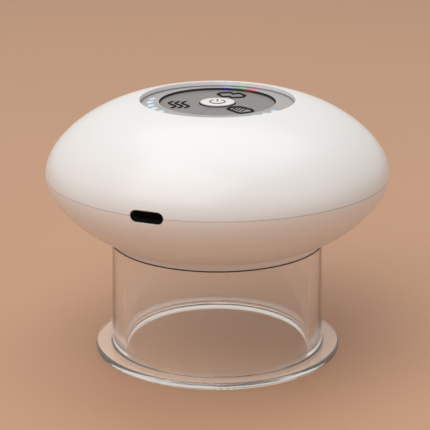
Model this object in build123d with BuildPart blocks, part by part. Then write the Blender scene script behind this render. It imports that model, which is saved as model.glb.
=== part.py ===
from build123d import *
from math import cos, radians, sin, sqrt, tan
import os

# An electric cupping massager: a lens-shaped white body on a clear suction cup. A control panel is
# set in the top, a charging port in the side. Millimetres, +Z up, origin at the middle of the base,
# -Y towards the user. Heights are counted up from the cup's mouth.

# Clearances and cuts
overrun = 1.0
seat_gap = 0.2
running_gap = 0.05
key_gap = 0.25

# Cup
cup_height = 33.4
cup_draft = 0.5
spigot_wall = 1.7
spigot_end_gap = 0.3
flange_reach = 4.9
flange_thickness = 2.0
flange_round = 0.8
mouth_round = 1.0
foot_round = 0.5
seal_section = 0.55
seal_rise = 2.9

# Body outline
body_radius = 50.0
wall = 2.0
parting_bevel = 0.12
collar_band = 1.8
collar_wall = 2.0
collar_shoulder = 0.6
collar_step = 0.4
belly_rise = 18.6
belly_pull = 7.75
belly_angle = 4.1
collar_pull = 7.9
collar_angle = 16.4
crown_pull = 9.3
rim_radius = 22.8
rim_pull = 13.4
rim_angle = 10.4
rim_land = 0.4
rim_round = 0.3
inner_pull_share = 0.85
tongue_wall = 0.9
tongue_rise = 1.4
tongue_root = 2.5

# Deck and socket, over the cup
socket_depth = 6.0
socket_lead = 0.4
deck_thickness = 2.2
window_recess = 1.2
window_width = 11.4
window_land = 2.5
plate_radius = 12.8
plate_thickness = 1.4
plate_proud = 0.6
film_thickness = 0.2
plate_round = 0.4
film_margin = 0.8

# Control panel
panel_recess = 1.55
ring_thickness = 1.35
ring_width = 5.3
ring_fall = 0.75
ring_seam = 0.25
ledge_width = 1.2
ledge_thickness = 1.8
ledge_root_wall = 2.4
disc_drop = 0.6
key_plate = 1.7
key_flange = 1.1
key_flange_reach = 1.0
key_flange_start = 8.0
key_travel = 0.4
key_round = 0.15
key_seam = 0.1
key_names = ("heat", "scrape", "suction")
key_angles = (190, 70, 310)
key_stem_circle_radius = 11.5
stem_radius = 1.2
button_radius = 5.05
button_proud = 0.65
button_dome = 0.25
button_flange_reach = 1.35
button_flange = 0.6
button_travel = 0.5
guide_disc = 1.0
light_radius = 1.2
heat_light_angles = (167, 179, 191, 202.5, 214.5)
suction_light_angles = (-34, -45.5, -57.5, -68.5, -80)
mode_light_colours = ("blue", "green", "red")
mode_light_angles = (81, 69, 57)
mode_head_length = 6.0
mode_head_depth = 0.9
mode_head_shift = -0.6

# Main board and switches
board_thickness = 1.2
board_below_guide = 2.3
board_margin = 3.1
board_room = 1.65
boss_radius = 2.0
board_boss_angles = (45, 135, 225, 315)
board_screw_radius = 0.8
board_screw_length = 5.0
board_screw_head = 1.6
board_screw_head_height = 0.8
switch_side = 4.4
switch_height = 1.4
plunger_radius = 0.95
plunger_length = 1.15
led_side = 1.6
led_height = 0.7
controller_side = 7.0
controller_offset = 9.0
charger_side = 4.0
charger_offset = 8.0
charger_apart = 20.0
chip_height = 0.9
socket_width = 6.0
socket_deep = 3.6
socket_height = 2.2
battery_socket_offset = 6.5
battery_socket_apart = 36.0
motor_socket_offset = 3.0

# Shell screws and their posts
post_angles = (0, 90, 180, 270)
post_radius = 2.4
post_clear = 2.0
screw_radius = 1.0
screw_head = 1.75
screw_margin = 0.35
screw_head_height = 1.2
screw_recess = 1.4
screw_length = 14.0
frame_boss_radius = 2.9
frame_boss_height = 1.6

# Inner frame
frame_thickness = 0.9
frame_rim_gap = 0.2
frame_window = 7.0
clip_thickness = 1.8
clip_wall = 1.3
clip_gap = 0.1
clip_rise = 3.0
cradle_floor = 0.5
battery_clip_place = 14.0
motor_clip_setbacks = (11.0, 3.0)

# Battery
battery_radius = 9.15
sleeve_thickness = 0.15
battery_length = 65.0
battery_clear = 1.2
terminal_radius = 3.0
terminal_height = 0.8
tab_width = 5.0
tab_height = 9.0
tab_thickness = 0.2

# Pump, along X from the motor's rear
pump_aisle = 2.9
motor_radius = 9.0
can_wall = 0.6
motor_length = 20.0
motor_sleeve_wall = 1.0
motor_sleeve_setback = 1.0
motor_sleeve_length = 12.5
bearing_boss_radius = 2.5
bearing_boss_height = 1.0
shaft_radius = 1.0
shaft_start = 0.6
shaft_reach = 5.2
end_cap_thickness = 2.5
terminal_width = 2.0
magnet_wall = 1.75
magnet_length = 12.0
magnet_gap = 4.0
armature_gap = 0.4
armature_length = 10.0
armature_slot = 1.2
armature_hub = 2.6
commutator_radius = 2.0
crank_radius = 5.0
crank_thickness = 3.0
crank_throw = 1.6
crank_pin_radius = 0.6
crank_pin_length = 2.4
housing_wall = 2.4
housing_back = 1.0
housing_length = 9.5
wobble_thickness = 1.8
wobble_hub = 4.0
wobble_arm_width = 2.6
diaphragm_thickness = 0.8
pump_cup_radius = 2.3
pump_cup_depth = 1.3
pump_cup_gap = 0.3
valve_plate_thickness = 2.0
cover_length = 3.7
nipple_radius = 1.5
nipple_bore = 0.8
nipple_length = 3.6
nipple_apart = 6.5
nipple_drop = 1.2
pump_screw_radius = 0.8
pump_screw_head = 1.3
pump_screw_length = 13.0
pump_screw_count = 3

# Suction nozzle, elbow and release valve, on the ring of lights
nozzle_radius = 1.5
nozzle_bore = 0.9
nozzle_height = 5.5
filter_radius = 3.3
elbow_wall = 1.0
elbow_bend = 5.5
elbow_run = 7.8
elbow_overlap = 2.7
valve_seat_radius = 2.4
valve_seat_height = 0.8
valve_port = 0.9
valve_tip_radius = 2.2
valve_tip_height = 1.0
valve_stem_radius = 1.9
valve_stem_length = 10.35
valve_travel = 1.2
valve_stop_gap = 0.1
valve_mount_height = 0.7
yoke_width = 8.4
yoke_depth = 7.4
yoke_height = 13.0
yoke_plate = 1.0
coil_margin = 0.05
spring_bore = 1.1
spring_wall = 0.3
spring_pocket = 4.0

# Treatment lights behind the window
treatment_count = 12
light_board_thickness = 1.0
light_board_rise = 0.4
light_board_margin = 1.4
treatment_side = 3.0
treatment_hole = 2.3
pad_radius = 1.0
pad_angles = (75, 135, 195, 225, 285, 345)

# Charging port, on the parting line left of the front
charge_azimuth = -112.4
slot_width = 9.5
slot_height = 3.15
slot_bevel = 0.3
bezel_gap = 0.05
bezel_wall = 0.22
bezel_depth = 1.0
bezel_sink = 0.3
usb_width = 8.94
usb_height = 3.26
usb_length = 7.35
usb_wall = 0.3
usb_clear = 0.12
tongue_width = 6.7
tongue_thickness = 0.7
tongue_length = 5.2
tongue_base = 1.2
charge_board_clear = 3.25
charge_board_width = 17.0
charge_board_thickness = 1.0
charge_board_inset = 1.2
shelf_rib = 1.4
shelf_apart = 11.0

# Wires, from the battery's tabs and the motor's terminals to the main board
wire_radius = 0.6
corner_share = 0.45
lead_lean = 1.05

# Heights, from the mouth of the cup up
collar_low = cup_height + seat_gap
collar_high = collar_low + collar_band
parting = collar_high + belly_rise
ceiling = collar_low + socket_depth
deck_top = ceiling + deck_thickness
frame_low = deck_top + frame_boss_height
frame_top = frame_low + frame_thickness
head_radius = motor_radius + motor_sleeve_wall
pump_z = frame_top + seat_gap + head_radius
battery_z = frame_top + cradle_floor + battery_radius
board_low = max(pump_z + head_radius, battery_z + battery_radius + chip_height) + board_room
board_top = board_low + board_thickness
guide_low = board_top + board_below_guide
guide_top = guide_low + guide_disc
key_low = guide_top + key_travel + key_gap
key_plate_low = key_low + key_flange
key_top = key_plate_low + key_plate
ring_top = key_top + disc_drop
ring_edge_top = ring_top - ring_fall
ring_low = ring_edge_top - ring_thickness
ledge_low = ring_low - ledge_thickness
rim_height = ring_edge_top + panel_recess

# Places of the pump and the battery. The posts stand outside them, and the collar goes round the posts
pump_y = pump_aisle + head_radius
post_circle = pump_y + head_radius + post_radius + post_clear
battery_y = battery_clear + battery_radius + post_radius - post_circle
socket_radius = post_circle + screw_head + screw_margin
collar_radius = socket_radius + collar_wall

# Radii of the panel, from its edge in
recess_radius = rim_radius - rim_land
ring_outer = recess_radius - ring_seam
ring_inner = ring_outer - ring_width
ledge_radius = recess_radius - ledge_width
ledge_root = recess_radius + ledge_root_wall
ledge_root_height = rim_height - wall - (ledge_root - rim_radius) * tan(radians(rim_angle))
light_circle = (ring_inner + ring_outer) / 2
mode_head_low = ring_edge_top - mode_head_depth
key_outer = ring_inner - key_gap
key_inner = button_radius + key_gap
board_boss_circle = ledge_radius + boss_radius + key_gap
board_radius = board_boss_circle + board_margin

# Radii of the cup's joint and of the deck, from the collar in
shoulder_radius = collar_radius - collar_shoulder
spigot_radius = socket_radius - seat_gap
cup_bore = spigot_radius - spigot_wall
cup_top_radius = collar_radius - collar_step
cup_foot_radius = cup_top_radius + cup_draft
flange_radius = cup_foot_radius + flange_reach
spigot_top = ceiling - spigot_end_gap
seal_height = collar_low + seal_rise
seal_circle = socket_radius - running_gap - seal_section
window_outer = cup_bore - window_land
window_inner = window_outer - window_width
treatment_circle = (window_inner + window_outer) / 2

# The nozzle stands on the circle of treatment lights, level with the pump's inlet
nipple_y = pump_y - nipple_apart / 2
nozzle_spot = (sqrt(treatment_circle * treatment_circle - nipple_y * nipple_y), nipple_y)
valve_spot = (treatment_circle, 0)
pump_length = motor_length + housing_length + diaphragm_thickness + valve_plate_thickness + cover_length
pump_rear = pump_length + nipple_length - elbow_overlap + elbow_run - nozzle_spot[0]
shaft_end = motor_length + shaft_reach
sleeve_end = motor_length - motor_sleeve_setback

standing = (Align.CENTER, Align.CENTER, Align.MIN)


def polar(radius, angle):
    """X and Y of a point at a radius, turned from +X."""
    return radius * cos(radians(angle)), radius * sin(radians(angle))


def around(radius, angles):
    """Points on a circle, one at each angle."""
    return [polar(radius, angle) for angle in angles]


def drum(low, high, radius, spots=((0, 0),), mode=Mode.ADD):
    """Upright cylinders between two heights, one at each spot."""
    with Locations(*[(*spot, low) for spot in spots]):
        Cylinder(radius, high - low, align=standing, mode=mode)


def tube(low, high, outer, inner, spots=((0, 0),)):
    """Upright tubes between two heights, one at each spot."""
    drum(low, high, outer, spots)
    drum(low, high, inner, spots, Mode.SUBTRACT)


def block(low, high, mode=Mode.ADD):
    """A box between its lowest and its highest corner."""
    middle = tuple((start + end) / 2 for start, end in zip(low, high))
    with Locations(middle):
        Box(*[end - start for start, end in zip(low, high)], mode=mode)


def bowed(start, start_angle, start_pull, end, end_angle, end_pull):
    """A curve's four points: it leaves each end along an angle, pulled by a length."""
    lead = Vector(*start) + Vector(*polar(start_pull, start_angle))
    trail = Vector(*end) + Vector(*polar(end_pull, end_angle))
    return Vector(*start), lead, trail, Vector(*end)


def save(name, piece):
    """Label a finished piece and write it."""
    piece.part.label = name
    export_step(piece.part, f"parts/{name}.step")


os.makedirs("parts", exist_ok=True)

crown = bowed((body_radius, parting), 90, crown_pull, (rim_radius, rim_height), -rim_angle, rim_pull)
inner_crown = bowed(
    (body_radius - wall, parting),
    90,
    crown_pull * inner_pull_share,
    (ledge_root, ledge_root_height),
    -rim_angle,
    rim_pull * inner_pull_share,
)
belly = bowed(
    (body_radius, parting),
    -90 - belly_angle,
    belly_pull,
    (collar_radius, collar_high),
    collar_angle,
    collar_pull,
)
trough_radius = collar_radius + wall * sin(radians(collar_angle)) / 2
trough_height = collar_high + wall
inner_belly = bowed(
    (body_radius - wall, parting),
    -90 - belly_angle,
    belly_pull * inner_pull_share,
    (trough_radius, trough_height),
    collar_angle,
    collar_pull * inner_pull_share,
)

# Charging port frames: one lies flat on the parting plane with +X out of the port, one faces out of it
charge_out = polar(1, charge_azimuth)
charge_side = polar(1, charge_azimuth + 90)
charge_flat = Plane((0, 0, parting), x_dir=(*charge_out, 0), z_dir=(0, 0, 1))
bezel_front = body_radius - bezel_sink
usb_front = bezel_front - bezel_depth


def charge_face(reach):
    """The plane across the port at a distance from the body's axis, looking out."""
    spot = (*polar(reach, charge_azimuth), parting)
    return Plane(spot, x_dir=(*charge_side, 0), z_dir=(*charge_out, 0))


def cut_charge_slot():
    """The port's slot through the wall, with a pocket behind it and a bevelled edge."""
    pocket_start = body_radius - wall - tongue_wall - overrun
    with BuildSketch(charge_face(pocket_start)) as pocket:
        SlotOverall(usb_width + 2 * usb_clear, usb_height + 2 * usb_clear)
    extrude(pocket.sketch, amount=usb_front - pocket_start, mode=Mode.SUBTRACT)
    with BuildSketch(charge_face(usb_front)) as slot:
        SlotOverall(slot_width, slot_height)
    extrude(slot.sketch, amount=body_radius + overrun - usb_front, mode=Mode.SUBTRACT)
    edge_sag = slot_width * slot_width / (8 * body_radius)
    with BuildSketch(charge_face(body_radius - edge_sag - slot_bevel)) as mouth:
        SlotOverall(slot_width, slot_height)
    extrude(mouth.sketch, amount=2 * slot_bevel, taper=-45, mode=Mode.SUBTRACT)


def bevel_parting(shell):
    """Bevel a shell's outer edge where the two shells meet."""
    rims = shell.edges().filter_by(GeomType.CIRCLE)
    level = rims.filter_by(lambda rim: abs(rim.center().Z - parting) < parting_bevel)
    chamfer(level.sort_by(SortBy.RADIUS)[-1:], parting_bevel)


post_spots = around(post_circle, post_angles)
board_boss_spots = around(board_boss_circle, board_boss_angles)

# Upper shell: the crown with its panel recess, four screw posts and four board bosses
with BuildPart() as upper_shell:
    drum(frame_top, rim_height, post_radius, post_spots)
    drum(board_top, rim_height, boss_radius, board_boss_spots)
    with BuildSketch(Plane.XZ):
        with BuildLine():
            Bezier(*crown)
            Polyline(
                (rim_radius, rim_height),
                (0, rim_height),
                (0, frame_low),
                (body_radius, frame_low),
                (body_radius, parting),
            )
        make_face()
    revolve(axis=Axis.Z, mode=Mode.INTERSECT)
    with BuildSketch(Plane.XZ):
        with BuildLine():
            Bezier(*crown)
            Polyline(
                (rim_radius, rim_height),
                (recess_radius, rim_height),
                (recess_radius, ring_low),
                (ledge_radius, ring_low),
                (ledge_radius, ledge_low),
                (ledge_root, ledge_low),
                (ledge_root, ledge_root_height),
            )
            Bezier(*inner_crown)
            Line((body_radius - wall, parting), (body_radius, parting))
        make_face()
    revolve(axis=Axis.Z)
    drum(ring_low, rim_height + overrun, recess_radius, mode=Mode.SUBTRACT)
    drum(board_top, ring_low, ledge_radius, mode=Mode.SUBTRACT)
    rims = upper_shell.edges().filter_by(GeomType.CIRCLE).group_by(Axis.Z)[-1]
    fillet(rims.sort_by(SortBy.RADIUS)[:1], rim_round)
    bevel_parting(upper_shell)
    screw_tip = ceiling + screw_recess + screw_length
    drum(frame_top, screw_tip + seat_gap, screw_radius + running_gap, post_spots, Mode.SUBTRACT)
    board_screw_tip = board_low + board_screw_length
    drum(board_top, board_screw_tip, board_screw_radius + running_gap, board_boss_spots, Mode.SUBTRACT)
    cut_charge_slot()
save("upper_shell", upper_shell)

# Lower shell: the belly, clamped between the cup's socket and the upper shell, with a tongue that
# centres the upper shell and two shelf ribs behind the port
charge_board_low = -usb_height / 2 - charge_board_thickness
tongue_outer = body_radius - wall - seat_gap
tongue_inner = tongue_outer - tongue_wall
charge_board_end = tongue_inner - charge_board_inset
charge_corner = battery_radius - battery_y + charge_board_clear
charge_corner -= charge_board_width / 2 * charge_side[1]
charge_board_start = charge_corner / -charge_out[1]
shelf_start = max(charge_board_start, trough_radius + seat_gap)
with BuildPart() as lower_shell:
    with BuildSketch(charge_flat.offset(charge_board_low)):
        with Locations(((shelf_start + charge_board_end) / 2, 0)):
            with GridLocations(0, shelf_apart, 1, 2):
                Rectangle(charge_board_end - shelf_start, shelf_rib)
    extrude(amount=-belly_rise)
    with BuildSketch(Plane.XZ):
        with BuildLine():
            Bezier(*belly)
            Polyline(
                (collar_radius, collar_high),
                (0, collar_high),
                (0, parting),
                (body_radius, parting),
            )
        make_face()
    revolve(axis=Axis.Z, mode=Mode.INTERSECT)
    with BuildSketch(Plane.XZ):
        with BuildLine():
            Bezier(*belly)
            Polyline(
                (collar_radius, collar_high),
                (shoulder_radius + running_gap, collar_high),
                (shoulder_radius + running_gap, trough_height),
                (trough_radius, trough_height),
            )
            Bezier(*inner_belly)
            Line((body_radius - wall, parting), (body_radius, parting))
        make_face()
    revolve(axis=Axis.Z)
    with BuildSketch(Plane.XY.offset(parting - tongue_root)):
        Circle(body_radius - wall / 2)
        Circle(tongue_inner, mode=Mode.SUBTRACT)
    extrude(amount=tongue_root)
    with BuildSketch(Plane.XY.offset(parting)):
        Circle(tongue_outer)
        Circle(tongue_inner, mode=Mode.SUBTRACT)
    extrude(amount=tongue_rise)
    bevel_parting(lower_shell)
    cut_charge_slot()
save("lower_shell", lower_shell)

# Cup socket: the light grey collar that takes the cup, with a shoulder under the lower shell, and the
# deck over the cup with its screw bosses, pads, nozzle and valve seat
with BuildPart() as cup_socket:
    with BuildSketch(Plane.XZ):
        with BuildLine():
            Polyline(
                (collar_radius, collar_low),
                (collar_radius, collar_high),
                (shoulder_radius, collar_high),
                (shoulder_radius, deck_top),
                (0, deck_top),
                (0, ceiling),
                (socket_radius, ceiling),
                (socket_radius, collar_low + socket_lead),
                (socket_radius + socket_lead, collar_low),
                close=True,
            )
        make_face()
    revolve(axis=Axis.Z)
    drum(deck_top, frame_low, frame_boss_radius, post_spots)
    drum(deck_top, deck_top + light_board_rise, pad_radius, around(treatment_circle, pad_angles))
    drum(deck_top, deck_top + nozzle_height, nozzle_radius, [nozzle_spot])
    drum(deck_top, deck_top + valve_seat_height, valve_seat_radius, [valve_spot])
    with BuildSketch(Plane.XY.offset(ceiling)):
        Circle(window_outer + running_gap)
        Circle(window_inner - running_gap, mode=Mode.SUBTRACT)
    extrude(amount=window_recess, mode=Mode.SUBTRACT)
    plate_seat = ceiling - plate_proud + plate_thickness + film_thickness
    drum(ceiling, plate_seat, plate_radius + running_gap, mode=Mode.SUBTRACT)
    light_angles = [360 / treatment_count * step for step in range(2, treatment_count)]
    light_spots = around(treatment_circle, light_angles)
    drum(ceiling, deck_top + overrun, treatment_hole, light_spots, Mode.SUBTRACT)
    drum(ceiling, deck_top + nozzle_height, nozzle_bore, [nozzle_spot], Mode.SUBTRACT)
    drum(ceiling, deck_top + valve_seat_height, valve_port, [valve_spot], Mode.SUBTRACT)
    drum(ceiling, frame_low, screw_radius + running_gap, post_spots, Mode.SUBTRACT)
    drum(ceiling, ceiling + screw_recess, screw_head + running_gap, post_spots, Mode.SUBTRACT)
save("cup_socket", cup_socket)

# Shell screws: up through the deck and the inner frame into the posts
with BuildPart() as shell_screws:
    head_low = ceiling + screw_recess - screw_head_height
    drum(head_low, ceiling + screw_recess, screw_head, post_spots)
    drum(ceiling + screw_recess, screw_tip, screw_radius, post_spots)
    drum(head_low, head_low + screw_head_height / 2, screw_radius / 2, post_spots, Mode.SUBTRACT)
save("shell_screws", shell_screws)

# Cup: one clear turned piece with a flange round its mouth and a spigot that plugs into the collar
groove_radius = seal_circle - seal_section - running_gap / 2
groove_half = seal_section + running_gap
with BuildPart() as cup:
    with BuildSketch(Plane.XZ):
        with BuildLine():
            Polyline(
                (cup_bore, 0),
                (flange_radius, 0),
                (flange_radius, flange_thickness),
                (cup_foot_radius, flange_thickness),
                (cup_top_radius, cup_height),
                (spigot_radius, cup_height),
                (spigot_radius, seal_height - groove_half),
                (groove_radius, seal_height - groove_half),
                (groove_radius, seal_height + groove_half),
                (spigot_radius, seal_height + groove_half),
                (spigot_radius, spigot_top - socket_lead),
                (spigot_radius - socket_lead, spigot_top),
                (cup_bore, spigot_top),
                close=True,
            )
        make_face()
    revolve(axis=Axis.Z)
    rims = cup.edges().filter_by(GeomType.CIRCLE)
    foot = rims.filter_by(lambda rim: abs(rim.center().Z - flange_thickness) < seat_gap)
    base = rims.group_by(Axis.Z)[0]
    fillet([*base.sort_by(SortBy.RADIUS)[-1:], *foot.sort_by(SortBy.RADIUS)[-1:]], flange_round)
    rims = cup.edges().filter_by(GeomType.CIRCLE)
    fillet(rims.group_by(Axis.Z)[0].sort_by(SortBy.RADIUS)[:1], mouth_round)
    rims = cup.edges().filter_by(GeomType.CIRCLE)
    foot = rims.filter_by(lambda rim: abs(rim.center().Z - flange_thickness) < seat_gap)
    fillet(foot.sort_by(SortBy.RADIUS)[:1], foot_round)
save("cup", cup)

# Cup seal: a silicone ring in the spigot's groove
with BuildPart() as cup_seal:
    with Locations((0, 0, seal_height)):
        Torus(seal_circle, seal_section)
save("cup_seal", cup_seal)

# Panel ring: the light grey surround, which falls towards its edge, with a hole for each light
all_light_angles = (*heat_light_angles, *suction_light_angles, *mode_light_angles)
all_light_spots = around(light_circle, all_light_angles)


def trim_to_ring_face(low):
    """Keep what lies between a height and the ring's sloping face."""
    with BuildSketch(Plane.XZ) as section:
        with BuildLine():
            Polyline(
                (0, low),
                (ring_outer, low),
                (ring_outer, ring_edge_top),
                (ring_inner, ring_top),
                (0, ring_top),
                close=True,
            )
        make_face()
    revolve(section.sketch, axis=Axis.Z, mode=Mode.INTERSECT)


def mode_head(angle, clearance=0, mode=Mode.ADD):
    """The long head of a mode light, which points at the panel's middle."""
    spot = polar(light_circle + mode_head_shift, angle)
    with BuildSketch(Plane((*spot, mode_head_low))) as outline:
        length = mode_head_length + 2 * clearance
        SlotOverall(length, 2 * (light_radius + clearance), rotation=angle)
    extrude(outline.sketch, amount=ring_top - mode_head_low, mode=mode)


with BuildPart() as panel_ring:
    drum(ring_low, ring_top, ring_outer)
    trim_to_ring_face(ring_low)
    drum(ring_low, ring_top, ring_inner, mode=Mode.SUBTRACT)
    drum(ring_low, ring_top, light_radius + running_gap, all_light_spots, Mode.SUBTRACT)
    for angle in mode_light_angles:
        mode_head(angle, running_gap, Mode.SUBTRACT)
save("panel_ring", panel_ring)

# Lights: clear pipes from the board's lamps up to the ring's face
pipe_low = board_top + led_height + seat_gap


def light_pipes(name, angles):
    """The light pipes at these angles on the ring."""
    with BuildPart() as pipes:
        drum(pipe_low, ring_top, light_radius, around(light_circle, angles))
        trim_to_ring_face(pipe_low)
    save(name, pipes)


light_pipes("heat_level_lights", heat_light_angles)
light_pipes("suction_level_lights", suction_light_angles)

# Mode lights: a pipe each, with a long head that shows in the ring's face and in its inner wall
for colour, angle in zip(mode_light_colours, mode_light_angles):
    with BuildPart() as mode_light:
        drum(pipe_low, ring_top, light_radius, [polar(light_circle, angle)])
        mode_head(angle)
        drum(mode_head_low, ring_top, ring_inner, mode=Mode.SUBTRACT)
        trim_to_ring_face(pipe_low)
    save(f"mode_light_{colour}", mode_light)

# Keys: three sectors of the grey disc, each with a flange under the ring and a stem to its switch
stem_low = board_top + switch_height + button_travel + running_gap
stem_spots = dict(zip(key_names, around(key_stem_circle_radius, key_angles)))


def sector(inner, outer, angle):
    """A third of a ring round an angle, drawn back by half a seam from its neighbours."""
    with BuildSketch() as face:
        Circle(outer)
        Circle(inner, mode=Mode.SUBTRACT)
        with BuildLine():
            Polyline((0, 0), polar(3 * outer, angle - 60), polar(3 * outer, angle + 60), close=True)
        make_face(mode=Mode.INTERSECT)
        for edge_angle in (angle - 60, angle + 60):
            Rectangle(
                2 * outer,
                key_seam,
                rotation=edge_angle,
                align=(Align.MIN, Align.CENTER),
                mode=Mode.SUBTRACT,
            )
    return face.sketch


for name, angle in zip(key_names, key_angles):
    with BuildPart() as key:
        plate = sector(key_inner, key_outer, angle)
        extrude(plate.moved(Location((0, 0, key_plate_low))), amount=key_plate)
        fillet(key.faces().sort_by(Axis.Z)[-1].edges().filter_by(GeomType.CIRCLE), key_round)
        flange = sector(key_flange_start, key_outer + key_flange_reach, angle)
        extrude(flange.moved(Location((0, 0, key_low))), amount=key_flange)
        drum(stem_low, key_low, stem_radius, [stem_spots[name]])
    save(f"key_{name}", key)

# Power button: a domed cap with a flange under the keys
button_top = key_top + button_proud
button_flange_low = guide_top + button_travel + running_gap
with BuildPart() as power_button:
    drum(stem_low, button_flange_low, stem_radius)
    drum(button_flange_low, button_flange_low + button_flange, button_radius + button_flange_reach)
    drum(button_flange_low, button_top - button_dome, button_radius)
    with BuildSketch(Plane.XZ):
        with BuildLine():
            edge = (button_radius, button_top - button_dome)
            low_middle = (0, button_top - button_dome)
            Line((0, button_top), low_middle)
            Line(low_middle, edge)
            chord = button_radius * button_radius + button_dome * button_dome
            RadiusArc((0, button_top), edge, chord / (2 * button_dome))
        make_face()
    revolve(axis=Axis.Z)
    fillet(power_button.edges().filter_by(Plane.XY).group_by(Axis.Z)[-1], key_round)
save("power_button", power_button)

# Key guide: a disc under the keys that stops them, with a wall up to the ring for the lights
guide_wall_inner = key_outer + key_flange_reach + key_gap
guide_outer = ledge_radius - seat_gap
with BuildPart() as key_guide:
    drum(guide_low, ring_low, guide_outer)
    drum(guide_top, ring_low, guide_wall_inner, mode=Mode.SUBTRACT)
    drum(guide_low, ring_low, light_radius + running_gap, all_light_spots, Mode.SUBTRACT)
    stem_hole = stem_radius + key_gap / 2
    drum(guide_low, guide_top, stem_hole, [(0, 0), *stem_spots.values()], Mode.SUBTRACT)
save("key_guide", key_guide)

# Main board, notched round the screw posts
with BuildPart() as main_board:
    drum(board_low, board_top, board_radius)
    drum(board_low, board_top, post_radius + seat_gap, post_spots, Mode.SUBTRACT)
    drum(board_low, board_top, board_screw_radius + running_gap, board_boss_spots, Mode.SUBTRACT)
save("main_board", main_board)

# Board screws: up through the board into the shell's bosses
with BuildPart() as board_screws:
    drum(board_low, board_screw_tip - running_gap, board_screw_radius, board_boss_spots)
    drum(board_low - board_screw_head_height, board_low, board_screw_head, board_boss_spots)
save("board_screws", board_screws)

# Indicator lamps on the board, one under each light pipe
with BuildPart() as indicator_leds:
    for angle in all_light_angles:
        with Locations(Location((*polar(light_circle, angle), board_top), (0, 0, angle))):
            Box(led_side, led_side, led_height, align=standing)
save("indicator_leds", indicator_leds)

# Switches under the button and the keys, with a plunger in each
switch_spots = [(0, 0), *stem_spots.values()]
switch_top = board_top + switch_height
plunger_low = stem_low - plunger_length
with BuildPart() as switch_bodies:
    with Locations(*[(*spot, board_top) for spot in switch_spots]):
        Box(switch_side, switch_side, switch_height, align=standing)
    well_low = plunger_low - button_travel - seat_gap / 2
    drum(well_low, switch_top, plunger_radius + running_gap, switch_spots, Mode.SUBTRACT)
save("switch_bodies", switch_bodies)

for name, spot in {"power": (0, 0), **stem_spots}.items():
    with BuildPart() as plunger:
        drum(plunger_low, stem_low, plunger_radius, [spot])
    save(f"{name}_plunger", plunger)

# Board parts: the chips and the wire sockets under the board
chip_spots = {
    (0, -controller_offset): controller_side,
    (charger_apart / 2, -charger_offset): charger_side,
    (-charger_apart / 2, -charger_offset): charger_side,
}
wire_sockets = [
    (battery_socket_apart / 2, -battery_socket_offset),
    (-battery_socket_apart / 2, -battery_socket_offset),
    (-battery_socket_apart / 2, motor_socket_offset),
]
with BuildPart() as board_parts:
    for spot, side in chip_spots.items():
        block(
            (spot[0] - side / 2, spot[1] - side / 2, board_low - chip_height),
            (spot[0] + side / 2, spot[1] + side / 2, board_low),
        )
    for x, y in wire_sockets:
        block(
            (x - socket_width / 2, y - socket_deep / 2, board_low - socket_height),
            (x + socket_width / 2, y + socket_deep / 2, board_low),
        )
save("board_parts", board_parts)

# Inner frame: a disc clamped by the shell screws, with clips for the battery and the motor
frame_radius = trough_radius - frame_rim_gap
lying = (0, 90, 0)


def clip(x, y, z, radius):
    """A clip on the frame, open above, that grips a cylinder lying along X."""
    half = radius + clip_gap + clip_wall
    block(
        (x - clip_thickness / 2, y - half, frame_low),
        (x + clip_thickness / 2, y + half, z + clip_rise),
    )


def bed(start, end, y, z, radius):
    """The space that a lying cylinder needs in its clips."""
    with Locations(((start + end) / 2, y, z)):
        Cylinder(radius + clip_gap, end - start, rotation=lying, mode=Mode.SUBTRACT)


with BuildPart() as inner_frame:
    drum(frame_low, frame_top, frame_radius)
    for x in (-battery_clip_place, battery_clip_place):
        clip(x, battery_y, battery_z, battery_radius)
    for setback in motor_clip_setbacks:
        clip(motor_length - setback - pump_rear, pump_y, pump_z, head_radius)
    block(
        (valve_spot[0] - yoke_width / 2, -yoke_depth / 2, frame_top),
        (valve_spot[0] + yoke_width / 2, yoke_depth / 2, frame_top + valve_mount_height),
    )
    bed(-battery_length / 2, battery_length / 2, battery_y, battery_z, battery_radius)
    bed(-pump_rear, motor_length - pump_rear, pump_y, pump_z, head_radius)
    drum(frame_low, frame_top, frame_window, mode=Mode.SUBTRACT)
    drum(frame_low, frame_top, screw_radius + running_gap, post_spots, Mode.SUBTRACT)
    elbow_outer = nozzle_radius + running_gap / 2 + elbow_wall
    drum(frame_low, frame_top, elbow_outer + seat_gap, [nozzle_spot], Mode.SUBTRACT)
    tip_hole = valve_tip_radius + key_gap
    drum(frame_low, frame_top + valve_mount_height, tip_hole, [valve_spot], Mode.SUBTRACT)
save("inner_frame", inner_frame)

# Battery: a round cell with its terminal, in a thin sleeve, with a welded tab at each end
cell_radius = battery_radius - sleeve_thickness
battery_axis = Plane((-battery_length / 2, battery_y, battery_z), x_dir=(0, 1, 0), z_dir=(1, 0, 0))
terminal_end = battery_length + terminal_height
with BuildPart(battery_axis) as battery_cell:
    drum(0, battery_length, cell_radius)
    fillet(battery_cell.edges(), sleeve_thickness)
    drum(battery_length - sleeve_thickness, terminal_end, terminal_radius)
save("battery_cell", battery_cell)

with BuildPart(battery_axis) as battery_sleeve:
    tube(sleeve_thickness, battery_length - sleeve_thickness, battery_radius, cell_radius)
save("battery_sleeve", battery_sleeve)

with BuildPart(battery_axis) as battery_tabs:
    for tab_start in (-tab_thickness, terminal_end):
        block(
            (-tab_width / 2, -tab_width / 2, tab_start),
            (tab_width / 2, tab_height - tab_width / 2, tab_start + tab_thickness),
        )
save("battery_tabs", battery_tabs)

# Pump: local X is the body's Y, local Y its Z, and local Z runs along the shaft
pump_axis = Plane((-pump_rear, pump_y, pump_z), x_dir=(0, 1, 0), z_dir=(1, 0, 0))
can_bore = motor_radius - can_wall
bearing = shaft_radius + running_gap
housing_start = motor_length
diaphragm_low = housing_start + housing_length
valve_plate_low = diaphragm_low + diaphragm_thickness
cover_low = valve_plate_low + valve_plate_thickness
cover_top = pump_length

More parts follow.
